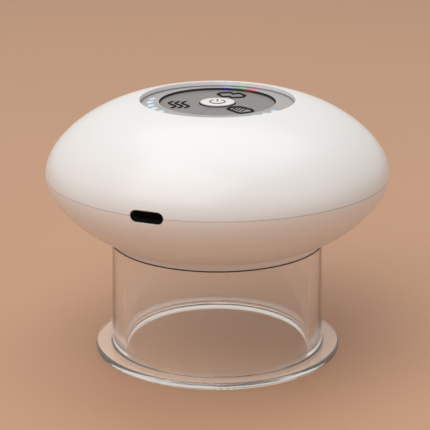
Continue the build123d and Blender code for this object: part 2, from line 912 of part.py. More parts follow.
with BuildPart(pump_axis) as motor_can:
    drum(0, motor_length, motor_radius)
    drum(0, motor_length - can_wall, can_bore, mode=Mode.SUBTRACT)
    drum(motor_length, motor_length + bearing_boss_height, bearing_boss_radius)
    drum(motor_length - can_wall, motor_length + bearing_boss_height, bearing, mode=Mode.SUBTRACT)
save("motor_can", motor_can)

with BuildPart(pump_axis) as motor_end_cap:
    drum(0, end_cap_thickness, can_bore - running_gap)
    drum(-bearing_boss_height, 0, bearing_boss_radius)
    for side in (-1, 1):
        tag = side * can_bore / 2
        block(
            (tag - can_wall / 2, -terminal_width / 2, -terminal_width),
            (tag + can_wall / 2, terminal_width / 2, 0),
        )
    drum(0, end_cap_thickness, bearing, mode=Mode.SUBTRACT)
save("motor_end_cap", motor_end_cap)

magnet_outer = can_bore - running_gap
magnet_inner = magnet_outer - magnet_wall
magnet_low = (motor_length - magnet_length) / 2
with BuildPart(pump_axis) as motor_magnets:
    tube(magnet_low, magnet_low + magnet_length, magnet_outer, magnet_inner)
    block(
        (-motor_radius, -magnet_gap / 2, magnet_low),
        (motor_radius, magnet_gap / 2, magnet_low + magnet_length),
        Mode.SUBTRACT,
    )
save("motor_magnets", motor_magnets)

armature_radius = magnet_inner - armature_gap
armature_low = (motor_length - armature_length) / 2
with BuildPart(pump_axis) as motor_armature:
    drum(armature_low, armature_low + armature_length, armature_radius)
    for slot_angle in (30, 150, 270):
        middle_radius = (armature_hub + armature_radius + overrun) / 2
        spot = (*polar(middle_radius, slot_angle), armature_low + armature_length / 2)
        with Locations(Location(spot, (0, 0, slot_angle))):
            Box(
                armature_radius + overrun - armature_hub,
                armature_slot,
                armature_length,
                mode=Mode.SUBTRACT,
            )
    drum(end_cap_thickness + seat_gap, armature_low, commutator_radius)
    drum(0, motor_length, shaft_radius, mode=Mode.SUBTRACT)
save("motor_armature", motor_armature)

with BuildPart(pump_axis) as motor_shaft:
    drum(shaft_start, shaft_end, shaft_radius)
save("motor_shaft", motor_shaft)

with BuildPart(pump_axis) as pump_crank:
    drum(shaft_end - crank_thickness, shaft_end, crank_radius)
    drum(shaft_end, shaft_end + crank_pin_length, crank_pin_radius, [(crank_throw, 0)])
    drum(shaft_end - crank_thickness, shaft_end, shaft_radius, mode=Mode.SUBTRACT)
save("pump_crank", pump_crank)

pump_screw_angles = [90 + 360 / pump_screw_count * step for step in range(pump_screw_count)]
pump_screw_spots = around(head_radius - housing_wall / 2, pump_screw_angles)
pump_screw_hole = pump_screw_radius + running_gap
head_sink = cover_length / 2
pump_screw_tip = cover_top - head_sink - pump_screw_length
with BuildPart(pump_axis) as pump_housing:
    drum(housing_start, diaphragm_low, head_radius)
    drum(housing_start + housing_back, diaphragm_low, head_radius - housing_wall, mode=Mode.SUBTRACT)
    boss_hole = bearing_boss_radius + running_gap
    drum(housing_start, housing_start + housing_back, boss_hole, mode=Mode.SUBTRACT)
    drum(pump_screw_tip, diaphragm_low, pump_screw_hole, pump_screw_spots, Mode.SUBTRACT)
save("pump_housing", pump_housing)

arm_angles = [angle + 180 for angle in pump_screw_angles]
pump_cup_circle = head_radius - housing_wall - pump_cup_gap - pump_cup_radius
cup_spots = around(pump_cup_circle, arm_angles)
wobble_top = diaphragm_low - pump_cup_depth
wobble_low = wobble_top - wobble_thickness
with BuildPart(pump_axis) as wobble_plate:
    drum(wobble_low, wobble_top, wobble_hub)
    for arm_angle in arm_angles:
        spot = (*polar(pump_cup_circle / 2, arm_angle), (wobble_low + wobble_top) / 2)
        with Locations(Location(spot, (0, 0, arm_angle))):
            Box(pump_cup_circle, wobble_arm_width, wobble_thickness)
    drum(wobble_low, wobble_top, wobble_arm_width / 2, cup_spots)
    pin_sweep = crank_throw + crank_pin_radius + key_gap
    drum(wobble_low, wobble_top, pin_sweep, mode=Mode.SUBTRACT)
save("wobble_plate", wobble_plate)

with BuildPart(pump_axis) as pump_diaphragm:
    drum(diaphragm_low, valve_plate_low, head_radius)
    drum(wobble_top, diaphragm_low, pump_cup_radius, cup_spots)
    hollow_low = wobble_top + diaphragm_thickness
    hollow_radius = pump_cup_radius - diaphragm_thickness
    drum(hollow_low, valve_plate_low, hollow_radius, cup_spots, Mode.SUBTRACT)
    drum(diaphragm_low, valve_plate_low, pump_screw_hole, pump_screw_spots, Mode.SUBTRACT)
save("pump_diaphragm", pump_diaphragm)

with BuildPart(pump_axis) as pump_valve_plate:
    drum(valve_plate_low, cover_low, head_radius)
    drum(valve_plate_low, cover_low, nipple_bore, [*cup_spots, (0, 0)], Mode.SUBTRACT)
    drum(valve_plate_low, cover_low, pump_screw_hole, pump_screw_spots, Mode.SUBTRACT)
save("pump_valve_plate", pump_valve_plate)

nipple_spots = [(-nipple_apart / 2, -nipple_drop), (nipple_apart / 2, -nipple_drop)]
with BuildPart(pump_axis) as pump_cover:
    drum(cover_low, cover_top, head_radius)
    drum(cover_top, cover_top + nipple_length, nipple_radius, nipple_spots)
    drum(cover_low, cover_top + nipple_length, nipple_bore, nipple_spots, Mode.SUBTRACT)
    drum(cover_low, cover_top, pump_screw_hole, pump_screw_spots, Mode.SUBTRACT)
    head_hole = pump_screw_head + running_gap
    drum(cover_top - head_sink, cover_top, head_hole, pump_screw_spots, Mode.SUBTRACT)
save("pump_cover", pump_cover)

with BuildPart(pump_axis) as pump_screws:
    drum(pump_screw_tip + running_gap, cover_top - head_sink, pump_screw_radius, pump_screw_spots)
    drum(cover_top - head_sink, cover_top - head_sink / 3, pump_screw_head, pump_screw_spots)
save("pump_screws", pump_screws)

# Rubber sleeve that holds the motor in its clips
with BuildPart(pump_axis) as motor_sleeve:
    tube(sleeve_end - motor_sleeve_length, sleeve_end, head_radius, motor_radius)
save("motor_sleeve", motor_sleeve)

# Suction elbow: a moulded tube from the deck's nozzle to the pump's inlet
nipple_z = pump_z - nipple_drop
nipple_x = cover_top - pump_rear
elbow_low = deck_top + nozzle_height - elbow_overlap
with BuildPart() as suction_elbow:
    with BuildLine():
        FilletPolyline(
            (*nozzle_spot, elbow_low),
            (*nozzle_spot, nipple_z),
            (nipple_x + nipple_length - elbow_overlap, nipple_y, nipple_z),
            radius=elbow_bend,
        )
    with BuildSketch(Plane((*nozzle_spot, elbow_low))):
        Circle(elbow_outer)
        Circle(nozzle_radius + running_gap / 2, mode=Mode.SUBTRACT)
    sweep()
save("suction_elbow", suction_elbow)

# Release valve: a solenoid on the frame whose plunger closes the seat on the deck
tip_low = deck_top + valve_seat_height + running_gap
tip_top = tip_low + valve_tip_height
stem_top = tip_top + valve_stem_length
core_low = stem_top + valve_travel + valve_stop_gap
yoke_low = frame_top + valve_mount_height
yoke_top = yoke_low + yoke_height
stem_bore = valve_stem_radius + running_gap
with BuildPart() as valve_yoke:
    block(
        (valve_spot[0] - yoke_width / 2, -yoke_depth / 2, yoke_low),
        (valve_spot[0] + yoke_width / 2, yoke_depth / 2, yoke_top),
    )
    block(
        (valve_spot[0] - yoke_width / 2 + yoke_plate, -yoke_depth / 2, yoke_low + yoke_plate),
        (valve_spot[0] + yoke_width / 2 - yoke_plate, yoke_depth / 2, yoke_top - yoke_plate),
        Mode.SUBTRACT,
    )
    drum(core_low, yoke_top, valve_stem_radius, [valve_spot])
    drum(yoke_low, yoke_low + yoke_plate, stem_bore, [valve_spot], Mode.SUBTRACT)
save("valve_yoke", valve_yoke)

with BuildPart() as valve_coil:
    coil_radius = yoke_width / 2 - yoke_plate - coil_margin
    tube(yoke_low + yoke_plate, yoke_top - yoke_plate, coil_radius, stem_bore, [valve_spot])
save("valve_coil", valve_coil)

with BuildPart() as valve_plunger:
    drum(tip_top, stem_top, valve_stem_radius, [valve_spot])
    drum(stem_top - spring_pocket, stem_top, spring_bore, [valve_spot], Mode.SUBTRACT)
save("valve_plunger", valve_plunger)

with BuildPart() as valve_tip:
    drum(tip_low, tip_top, valve_tip_radius, [valve_spot])
save("valve_tip", valve_tip)

with BuildPart() as valve_spring:
    spring_outer = spring_bore - running_gap
    tube(stem_top - spring_pocket, core_low, spring_outer, spring_outer - spring_wall, [valve_spot])
save("valve_spring", valve_spring)

# Treatment lights: a ring board on the deck's pads, its lamps down in the deck's holes
light_board_low = deck_top + light_board_rise
with BuildPart() as light_board:
    light_board_outer = window_outer - light_board_margin
    tube(light_board_low, light_board_low + light_board_thickness, light_board_outer, window_inner)
    board_top_face = light_board_low + light_board_thickness
    elbow_hole = elbow_outer + seat_gap
    drum(light_board_low, board_top_face, elbow_hole, [nozzle_spot], Mode.SUBTRACT)
    seat_hole = valve_seat_radius + key_gap
    drum(light_board_low, board_top_face, seat_hole, [valve_spot], Mode.SUBTRACT)
save("light_board", light_board)

with BuildPart() as treatment_leds:
    lamp_low = ceiling + window_recess + seat_gap / 2
    for angle in light_angles:
        with Locations(Location((*polar(treatment_circle, angle), lamp_low), (0, 0, angle))):
            Box(treatment_side, treatment_side, light_board_low - lamp_low, align=standing)
save("treatment_leds", treatment_leds)

# Light window: a clear ring in the deck's underside
with BuildPart() as light_window:
    tube(ceiling, ceiling + window_recess, window_outer, window_inner)
    filter_hole = filter_radius + running_gap
    drum(ceiling, ceiling + window_recess, filter_hole, [nozzle_spot], Mode.SUBTRACT)
    drum(ceiling, ceiling + window_recess, valve_seat_radius, [valve_spot], Mode.SUBTRACT)
save("light_window", light_window)

# Inlet filter: a foam disc over the nozzle's bore
with BuildPart() as inlet_filter:
    drum(ceiling, ceiling + window_recess, filter_radius, [nozzle_spot])
save("inlet_filter", inlet_filter)

# Heating plate in the middle of the ceiling, with its film heater behind it
plate_low = ceiling - plate_proud
plate_top = plate_low + plate_thickness
with BuildPart() as heating_plate:
    drum(plate_low, plate_top, plate_radius)
    fillet(heating_plate.edges().group_by(Axis.Z)[0], plate_round)
save("heating_plate", heating_plate)

with BuildPart() as heater_film:
    drum(plate_top, plate_top + film_thickness, plate_radius - film_margin)
save("heater_film", heater_film)

# Charging port: a black bezel in the slot, the socket behind it and the board that carries it
with BuildPart() as port_bezel:
    bezel_width = slot_width - 2 * bezel_gap
    bezel_height = slot_height - 2 * bezel_gap
    with BuildSketch(charge_face(usb_front)):
        SlotOverall(bezel_width, bezel_height)
        SlotOverall(bezel_width - 2 * bezel_wall, bezel_height - 2 * bezel_wall, mode=Mode.SUBTRACT)
    extrude(amount=bezel_depth)
save("port_bezel", port_bezel)

usb_back = usb_front - usb_length
with BuildPart() as usb_socket:
    with BuildSketch(charge_face(usb_back)):
        SlotOverall(usb_width, usb_height)
    extrude(amount=usb_length)
    with BuildSketch(charge_face(usb_back + tongue_base)):
        SlotOverall(usb_width - 2 * usb_wall, usb_height - 2 * usb_wall)
    extrude(amount=usb_length - tongue_base, mode=Mode.SUBTRACT)
save("usb_socket", usb_socket)

with BuildPart() as usb_tongue:
    with BuildSketch(charge_face(usb_back + tongue_base)):
        Rectangle(tongue_width, tongue_thickness)
    extrude(amount=tongue_length)
save("usb_tongue", usb_tongue)

with BuildPart() as charging_board:
    with BuildSketch(charge_flat.offset(charge_board_low)):
        with Locations(((charge_board_start + charge_board_end) / 2, 0)):
            Rectangle(charge_board_end - charge_board_start, charge_board_width)
    extrude(amount=charge_board_thickness)
save("charging_board", charging_board)

# Wires: red and black leads from the battery's tabs, and the motor's pair
lead_height = board_low - socket_height / 2
socket_face = (battery_socket_apart + socket_width) / 2
tab_clear = wire_radius + running_gap
right_tab = -battery_length / 2 + terminal_end + tab_thickness + tab_clear
left_tab = -battery_length / 2 - tab_thickness - tab_clear
motor_end = -pump_rear - terminal_width
wire_routes = [
    [
        (right_tab, battery_y, battery_z),
        (right_tab + lead_lean, battery_y, lead_height),
        (27.0, -battery_socket_offset, lead_height),
        (socket_face, -battery_socket_offset, lead_height),
    ],
    [
        (left_tab, battery_y, battery_z),
        (left_tab - lead_lean, battery_y, lead_height),
        (-27.0, -battery_socket_offset, lead_height),
        (-socket_face, -battery_socket_offset, lead_height),
    ],
    [
        (motor_end, pump_y - can_bore / 2, pump_z),
        (-38.5, 8.8, pump_z),
        (-38.5, 7.5, lead_height),
        (-29.5, 4.2, lead_height),
        (-socket_face - seat_gap, motor_socket_offset - wire_radius - running_gap, lead_height),
    ],
    [
        (motor_end, pump_y + can_bore / 2, pump_z),
        (-38.5, 17.2, pump_z),
        (-38.0, 13.5, lead_height),
        (-29.5, 6.4, lead_height),
        (-socket_face - seat_gap, motor_socket_offset + wire_radius + running_gap, lead_height),
    ],
]


def corner_radii(route):
    """The arc at each corner of a route, as large as the two runs there allow."""
    radii = []
    for before, corner, after in zip(route, route[1:], route[2:]):
        run_in = Vector(*corner) - Vector(*before)
        run_out = Vector(*after) - Vector(*corner)
        half_turn = radians(run_in.get_angle(run_out) / 2)
        radii.append(corner_share * min(run_in.length, run_out.length) / tan(half_turn))
    return radii


with BuildPart() as lead_wires:
    for route in wire_routes:
        radii = corner_radii(route)
        print("wire corners", [round(radius, 1) for radius in radii])
        with BuildLine() as wire_path:
            FilletPolyline(*route, radius=radii)
        with BuildSketch(Plane(wire_path.line @ 0, z_dir=wire_path.line % 0)):
            Circle(wire_radius)
        sweep(path=wire_path.line)
save("lead_wires", lead_wires)
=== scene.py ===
import bmesh
import bpy
import math
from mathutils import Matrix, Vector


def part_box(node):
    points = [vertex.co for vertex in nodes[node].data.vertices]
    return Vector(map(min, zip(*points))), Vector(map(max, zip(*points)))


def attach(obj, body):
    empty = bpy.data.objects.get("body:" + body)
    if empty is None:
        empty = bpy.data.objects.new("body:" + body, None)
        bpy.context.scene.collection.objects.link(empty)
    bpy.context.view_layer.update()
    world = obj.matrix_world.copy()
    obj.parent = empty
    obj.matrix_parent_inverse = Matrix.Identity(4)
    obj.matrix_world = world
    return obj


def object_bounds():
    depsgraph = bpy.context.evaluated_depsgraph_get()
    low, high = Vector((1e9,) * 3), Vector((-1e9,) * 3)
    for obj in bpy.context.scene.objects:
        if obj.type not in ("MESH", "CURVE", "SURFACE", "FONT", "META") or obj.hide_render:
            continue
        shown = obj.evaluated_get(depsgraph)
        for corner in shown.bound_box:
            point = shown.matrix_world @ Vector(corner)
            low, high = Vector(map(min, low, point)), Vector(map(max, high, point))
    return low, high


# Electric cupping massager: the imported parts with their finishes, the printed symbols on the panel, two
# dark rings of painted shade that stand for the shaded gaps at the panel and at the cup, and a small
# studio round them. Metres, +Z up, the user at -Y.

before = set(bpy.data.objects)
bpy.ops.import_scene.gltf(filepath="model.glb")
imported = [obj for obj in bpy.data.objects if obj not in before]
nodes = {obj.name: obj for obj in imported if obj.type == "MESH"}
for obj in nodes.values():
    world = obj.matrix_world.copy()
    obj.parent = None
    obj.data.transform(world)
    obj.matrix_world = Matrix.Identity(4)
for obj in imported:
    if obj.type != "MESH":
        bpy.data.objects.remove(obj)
cadLow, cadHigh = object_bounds()
scene = bpy.context.scene
mm = 0.001
print("frame loaded with", len(nodes), "nodes")

# Camera, at the height and pitch that the picture was taken from
cameraSettings = {
    "place": (-0.70 * mm, -467.9 * mm, 187.1 * mm),
    "pitchDown": 17.42,  # degrees
    "focalPixels": 1665.9,
    "imageWidth": 430,
    "sensorWidth": 36.0,
    "nearest": 10 * mm,
}


def placeCamera(settings):
    lens = bpy.data.cameras.new("viewCamera")
    lens.sensor_width = settings["sensorWidth"]
    lens.lens = settings["focalPixels"] * settings["sensorWidth"] / settings["imageWidth"]
    lens.clip_start = settings["nearest"]
    camera = bpy.data.objects.new("viewCamera", lens)
    camera.location = settings["place"]
    camera.rotation_euler = (math.radians(90 - settings["pitchDown"]), 0, 0)
    scene.collection.objects.link(camera)
    scene.camera = camera


placeCamera(cameraSettings)
print("camera placed")


# Small helpers for the materials
def newMaterial(name):
    material = bpy.data.materials.new(name)
    material.use_nodes = True
    return material, material.node_tree, material.node_tree.nodes["Principled BSDF"]


def newGroup(name, inputs, outputs):
    group = bpy.data.node_groups.new(name, "ShaderNodeTree")
    for label, kind, value in inputs:
        socket = group.interface.new_socket(label, in_out="INPUT", socket_type=kind)
        socket.default_value = value
    for label, kind in outputs:
        group.interface.new_socket(label, in_out="OUTPUT", socket_type=kind)
    return group, group.nodes.new("NodeGroupInput"), group.nodes.new("NodeGroupOutput")


def addMath(tree, operation, *values):
    node = tree.nodes.new("ShaderNodeMath")
    node.operation = operation
    for socket, value in zip(node.inputs, values):
        feed(tree, value, socket)
    return node.outputs[0]


def feed(tree, value, socket):
    if isinstance(value, bpy.types.NodeSocket):
        tree.links.new(value, socket)
    else:
        socket.default_value = value


def addNoise(tree, coordinates, scale, detail=2.0, roughness=0.5):
    noise = tree.nodes.new("ShaderNodeTexNoise")
    noise.inputs["Detail"].default_value = detail
    noise.inputs["Roughness"].default_value = roughness
    feed(tree, scale, noise.inputs["Scale"])
    tree.links.new(coordinates, noise.inputs["Vector"])
    return noise.outputs["Fac"]


firstColor, secondColor, mixedColor = 6, 7, 2  # the colour sockets of a mix node


def mixColors(tree, amount, first, second, blend="MIX"):
    mix = tree.nodes.new("ShaderNodeMix")
    mix.data_type = "RGBA"
    mix.blend_type = blend
    feed(tree, amount, mix.inputs["Factor"])
    feed(tree, first, mix.inputs[firstColor])
    feed(tree, second, mix.inputs[secondColor])
    return mix.outputs[mixedColor]


def spreadRange(tree, value, low, high):
    node = tree.nodes.new("ShaderNodeMapRange")
    tree.links.new(value, node.inputs["Value"])
    feed(tree, low, node.inputs["To Min"])
    feed(tree, high, node.inputs["To Max"])
    return node.outputs["Result"]


# Shared effects. Each is a node group that gives colours, roughness and height
def makeMouldedSkin():
    group, start, end = newGroup(
        "mouldedSkin",
        [
            ("Color", "NodeSocketColor", (0.8, 0.8, 0.8, 1)),
            ("Tone Shift", "NodeSocketFloat", 0.03),
            ("Patch Scale", "NodeSocketFloat", 30.0),
            ("Grain Scale", "NodeSocketFloat", 2500.0),
            ("Roughness", "NodeSocketFloat", 0.3),
            ("Roughness Spread", "NodeSocketFloat", 0.05),
        ],
        [("Color", "NodeSocketColor"), ("Roughness", "NodeSocketFloat"), ("Height", "NodeSocketFloat")],
    )
    place = group.nodes.new("ShaderNodeTexCoord").outputs["Object"]
    patches = addNoise(group, place, start.outputs["Patch Scale"], detail=3.0)
    grain = addNoise(group, place, start.outputs["Grain Scale"], detail=2.0)
    lowTone = addMath(group, "SUBTRACT", 1.0, start.outputs["Tone Shift"])
    tone = spreadRange(group, patches, lowTone, 1.0)
    toned = mixColors(group, 1.0, start.outputs["Color"], tone, "MULTIPLY")
    group.links.new(toned, end.inputs["Color"])
    both = addMath(group, "ADD", patches, grain)
    offset = addMath(group, "SUBTRACT", both, 1.0)
    swing = addMath(group, "MULTIPLY", offset, start.outputs["Roughness Spread"])
    group.links.new(addMath(group, "ADD", start.outputs["Roughness"], swing), end.inputs["Roughness"])
    group.links.new(grain, end.inputs["Height"])
    return group


def makeMetalGrain():
    group, start, end = newGroup(
        "metalGrain",
        [
            ("Color", "NodeSocketColor", (0.6, 0.6, 0.6, 1)),
            ("Stretch", "NodeSocketVector", (300.0, 9000.0, 9000.0)),
            ("Tone Shift", "NodeSocketFloat", 0.1),
            ("Roughness", "NodeSocketFloat", 0.3),
            ("Roughness Spread", "NodeSocketFloat", 0.1),
        ],
        [("Color", "NodeSocketColor"), ("Roughness", "NodeSocketFloat"), ("Height", "NodeSocketFloat")],
    )
    place = group.nodes.new("ShaderNodeTexCoord").outputs["Object"]
    stretched = group.nodes.new("ShaderNodeVectorMath")
    stretched.operation = "MULTIPLY"
    group.links.new(place, stretched.inputs[0])
    group.links.new(start.outputs["Stretch"], stretched.inputs[1])
    lines = addNoise(group, stretched.outputs["Vector"], scale=1.0, detail=3.0, roughness=0.6)
    lowTone = addMath(group, "SUBTRACT", 1.0, start.outputs["Tone Shift"])
    tone = spreadRange(group, lines, lowTone, 1.0)
    toned = mixColors(group, 1.0, start.outputs["Color"], tone, "MULTIPLY")
    group.links.new(toned, end.inputs["Color"])
    offset = addMath(group, "SUBTRACT", lines, 0.5)
    swing = addMath(group, "MULTIPLY", offset, start.outputs["Roughness Spread"])
    group.links.new(addMath(group, "ADD", start.outputs["Roughness"], swing), end.inputs["Roughness"])
    group.links.new(lines, end.inputs["Height"])
    return group


trackSettings = {"offset": 0.35, "gap": 0.07, "soft": 0.2}


def makeBoardTracks():
    group, start, end = newGroup(
        "boardTracks",
        [
            ("Mask Color", "NodeSocketColor", (0.01, 0.12, 0.05, 1)),
            ("Track Color", "NodeSocketColor", (0.03, 0.22, 0.1, 1)),
            ("Track Scale", "NodeSocketFloat", 220.0),
        ],
        [("Color", "NodeSocketColor"), ("Height", "NodeSocketFloat")],
    )
    place = group.nodes.new("ShaderNodeTexCoord").outputs["Object"]
    bricks = group.nodes.new("ShaderNodeTexBrick")
    bricks.offset = trackSettings["offset"]
    bricks.inputs["Mortar Size"].default_value = trackSettings["gap"]
    bricks.inputs["Mortar Smooth"].default_value = trackSettings["soft"]
    group.links.new(place, bricks.inputs["Vector"])
    group.links.new(start.outputs["Track Scale"], bricks.inputs["Scale"])
    mask, track = start.outputs["Mask Color"], start.outputs["Track Color"]
    group.links.new(mixColors(group, bricks.outputs["Fac"], mask, track), end.inputs["Color"])
    group.links.new(bricks.outputs["Fac"], end.inputs["Height"])
    return group


def axisDistance(tree, place):
    flat = tree.nodes.new("ShaderNodeVectorMath")
    flat.operation = "MULTIPLY"
    flat.inputs[1].default_value = (1.0, 1.0, 0.0)
    tree.links.new(place, flat.inputs[0])
    length = tree.nodes.new("ShaderNodeVectorMath")
    length.operation = "LENGTH"
    tree.links.new(flat.outputs["Vector"], length.inputs[0])
    return length.outputs["Value"]


glowMottle = {"scale": 900.0, "swing": 0.08}


def makeGlowSpread():
    group, start, end = newGroup(
        "glowSpread",
        [
            ("Lit Color", "NodeSocketColor", (1, 1, 1, 1)),
            ("Edge Color", "NodeSocketColor", (0.4, 0.5, 0.6, 1)),
            ("Ring Radius", "NodeSocketFloat", 0.0195),
            ("Half Width", "NodeSocketFloat", 0.0011),
        ],
        [("Color", "NodeSocketColor")],
    )
    place = group.nodes.new("ShaderNodeTexCoord").outputs["Object"]
    off = addMath(group, "SUBTRACT", axisDistance(group, place), start.outputs["Ring Radius"])
    share = addMath(group, "DIVIDE", addMath(group, "ABSOLUTE", off), start.outputs["Half Width"])
    falloff = addMath(group, "POWER", share, 2.0)
    mottle = addNoise(group, place, glowMottle["scale"])
    swing = spreadRange(group, mottle, -glowMottle["swing"], glowMottle["swing"])
    mottled = addMath(group, "ADD", falloff, swing)
    glow = mixColors(group, mottled, start.outputs["Lit Color"], start.outputs["Edge Color"])
    group.links.new(glow, end.inputs["Color"])
    return group


mouldedSkin = makeMouldedSkin()
metalGrain = makeMetalGrain()
boardTracks = makeBoardTracks()
glowSpread = makeGlowSpread()
print("shared effects ready")


def placeGroup(tree, group, values):
    node = tree.nodes.new("ShaderNodeGroup")
    node.node_tree = group
    for label, value in values.items():
        node.inputs[label].default_value = value
    return node


def bumpFrom(tree, height, distance, shader):
    bump = tree.nodes.new("ShaderNodeBump")
    bump.inputs["Distance"].default_value = distance
    tree.links.new(height, bump.inputs["Height"])
    tree.links.new(bump.outputs["Normal"], shader.inputs["Normal"])


def rgba(color):
    return (*color, 1.0)


# Moulded plastics and rubbers
plasticFinishes = {
    "shellWhite": {
        "color": (0.88, 0.87, 0.855), "roughness": 0.36, "spread": 0.03, "toneShift": 0.012,
        "grainScale": 1400.0, "grainDepth": 0.004 * mm, "coat": 0.25, "coatRoughness": 0.16,
        # painted shade: a darker band along the groove where the two shells meet
        "seam": {"height": 53.94 * mm, "half": 0.06 * mm, "color": (0.5, 0.45, 0.42)},
    },
    "collarGrey": {
        "color": (0.84, 0.82, 0.8), "roughness": 0.3, "spread": 0.06, "toneShift": 0.03,
        "grainScale": 3000.0, "grainDepth": 0.006 * mm, "coat": 0.3, "coatRoughness": 0.12,
    },
    "ringGrey": {
        "color": (0.4, 0.395, 0.39), "roughness": 0.4, "spread": 0.08, "toneShift": 0.04,
        "grainScale": 5200.0, "grainDepth": 0.008 * mm, "coat": 0.15, "coatRoughness": 0.25,
        # painted shade: the ring's inner face, nearer the axis than 16.9 mm, is made near-black for the
        # shaded gap round the keys
        "wall": {"outside": 0.0, "inside": 16.9 * mm, "color": (0.02, 0.018, 0.018)},
    },
    "keyGrey": {
        "color": (0.2, 0.197, 0.194), "roughness": 0.42, "spread": 0.08, "toneShift": 0.05,
        "grainScale": 5200.0, "grainDepth": 0.01 * mm, "coat": 0.1, "coatRoughness": 0.3,
    },
    "printBlack": {
        "color": (0.002, 0.002, 0.002), "roughness": 0.6, "spread": 0.1, "toneShift": 0.1,
        "grainScale": 7000.0, "grainDepth": 0.006 * mm, "coat": 0.0, "coatRoughness": 0.3,
        "shine": 0.05,
    },
    "printGrey": {
        "color": (0.14, 0.135, 0.13), "roughness": 0.5, "spread": 0.1, "toneShift": 0.1,
        "grainScale": 7000.0, "grainDepth": 0.004 * mm, "coat": 0.0, "coatRoughness": 0.3,
        "shine": 0.15,
    },
    # black plastic; the near-black lining of the port slot is also painted shade for the dark inside the
    # port
    "portBlackAndShade": {
        "color": (0.002, 0.002, 0.002), "roughness": 0.75, "spread": 0.08, "toneShift": 0.1,
        "grainScale": 5000.0, "grainDepth": 0.01 * mm, "coat": 0.0, "coatRoughness": 0.3,
        "shine": 0.1,
    },
    # painted shade: a black ring that stands for the shadow gap between the cup and the collar
    "gapShadeBlack": {
        "color": (0.02, 0.018, 0.017), "roughness": 0.6, "spread": 0.1, "toneShift": 0.15,
        "grainScale": 4000.0, "grainDepth": 0.012 * mm, "coat": 0.0, "coatRoughness": 0.3,
        "shine": 0.4,
    },
    # painted shade: a grey ring that stands for the shaded groove round the panel
    "grooveShadeGrey": {
        "color": (0.3, 0.295, 0.29), "roughness": 0.65, "spread": 0.1, "toneShift": 0.15,
        "grainScale": 4000.0, "grainDepth": 0.012 * mm, "coat": 0.0, "coatRoughness": 0.3,
        "shine": 0.3,
    },
    "innerBlack": {
        "color": (0.018, 0.018, 0.019), "roughness": 0.5, "spread": 0.1, "toneShift": 0.15,
        "grainScale": 3000.0, "grainDepth": 0.012 * mm, "coat": 0.0, "coatRoughness": 0.3,
    },
    "innerNatural": {
        "color": (0.66, 0.63, 0.56), "roughness": 0.45, "spread": 0.08, "toneShift": 0.06,
        "grainScale": 2500.0, "grainDepth": 0.01 * mm, "coat": 0.0, "coatRoughness": 0.3,
    },
    "sleeveBlack": {
        "color": (0.02, 0.02, 0.02), "roughness": 0.7, "spread": 0.12, "toneShift": 0.2,
        "grainScale": 2200.0, "grainDepth": 0.02 * mm, "coat": 0.0, "coatRoughness": 0.3,
    },
    "cellBlue": {
        "color": (0.02, 0.14, 0.3), "roughness": 0.28, "spread": 0.06, "toneShift": 0.06,
        "grainScale": 900.0, "grainDepth": 0.01 * mm, "coat": 0.3, "coatRoughness": 0.15,
    },
    "filterFoam": {
        "color": (0.7, 0.69, 0.65), "roughness": 0.95, "spread": 0.05, "toneShift": 0.45,
        "grainScale": 2600.0, "grainDepth": 0.25 * mm, "coat": 0.0, "coatRoughness": 0.3,
    },
    "amberFilm": {
        "color": (0.55, 0.22, 0.03), "roughness": 0.25, "spread": 0.06, "toneShift": 0.1,
        "grainScale": 1200.0, "grainDepth": 0.01 * mm, "coat": 0.4, "coatRoughness": 0.1,
    },
    "wireRed": {
        "color": (0.42, 0.02, 0.02), "roughness": 0.45, "spread": 0.08, "toneShift": 0.12,
        "grainScale": 1800.0, "grainDepth": 0.01 * mm, "coat": 0.1, "coatRoughness": 0.3,
    },
    "lampWhite": {
        "color": (0.82, 0.8, 0.62), "roughness": 0.3, "spread": 0.06, "toneShift": 0.15,
        "grainScale": 1600.0, "grainDepth": 0.01 * mm, "coat": 0.2, "coatRoughness": 0.1,
    },
}


def paintWallShade(tree, color, wall):
    # painted shade: an upright face is darkened to a set colour between two distances from the axis
    place = tree.nodes.new("ShaderNodeTexCoord").outputs["Object"]
    distance = axisDistance(tree, place)
    beyond = addMath(tree, "GREATER_THAN", distance, wall["outside"])
    within = addMath(tree, "LESS_THAN", distance, wall["inside"])
    return mixColors(tree, addMath(tree, "MULTIPLY", beyond, within), color, rgba(wall["color"]))


def paintSeamShade(tree, color, seam):
    # painted shade: a thin dark line where the two shells meet, standing for the shade in the groove
    # between them
    place = tree.nodes.new("ShaderNodeTexCoord").outputs["Object"]
    split = tree.nodes.new("ShaderNodeSeparateXYZ")
    tree.links.new(place, split.inputs[0])
    off = addMath(tree, "ABSOLUTE", addMath(tree, "SUBTRACT", split.outputs["Z"], seam["height"]))
    return mixColors(tree, addMath(tree, "LESS_THAN", off, seam["half"]), color, rgba(seam["color"]))


usualShine = 0.5


def makePlastic(name, settings):
    material, tree, shader = newMaterial(name)
    skin = placeGroup(tree, mouldedSkin, {
        "Color": rgba(settings["color"]),
        "Tone Shift": settings["toneShift"],
        "Grain Scale": settings["grainScale"],
        "Roughness": settings["roughness"],
        "Roughness Spread": settings["spread"],
    })
    color = skin.outputs["Color"]
    if "wall" in settings:
        color = paintWallShade(tree, color, settings["wall"])
    if "seam" in settings:
        color = paintSeamShade(tree, color, settings["seam"])
    tree.links.new(color, shader.inputs["Base Color"])
    shader.inputs["Specular IOR Level"].default_value = settings.get("shine", usualShine)
    tree.links.new(skin.outputs["Roughness"], shader.inputs["Roughness"])
    bumpFrom(tree, skin.outputs["Height"], settings["grainDepth"], shader)
    shader.inputs["Coat Weight"].default_value = settings["coat"]
    shader.inputs["Coat Roughness"].default_value = settings["coatRoughness"]
    return material


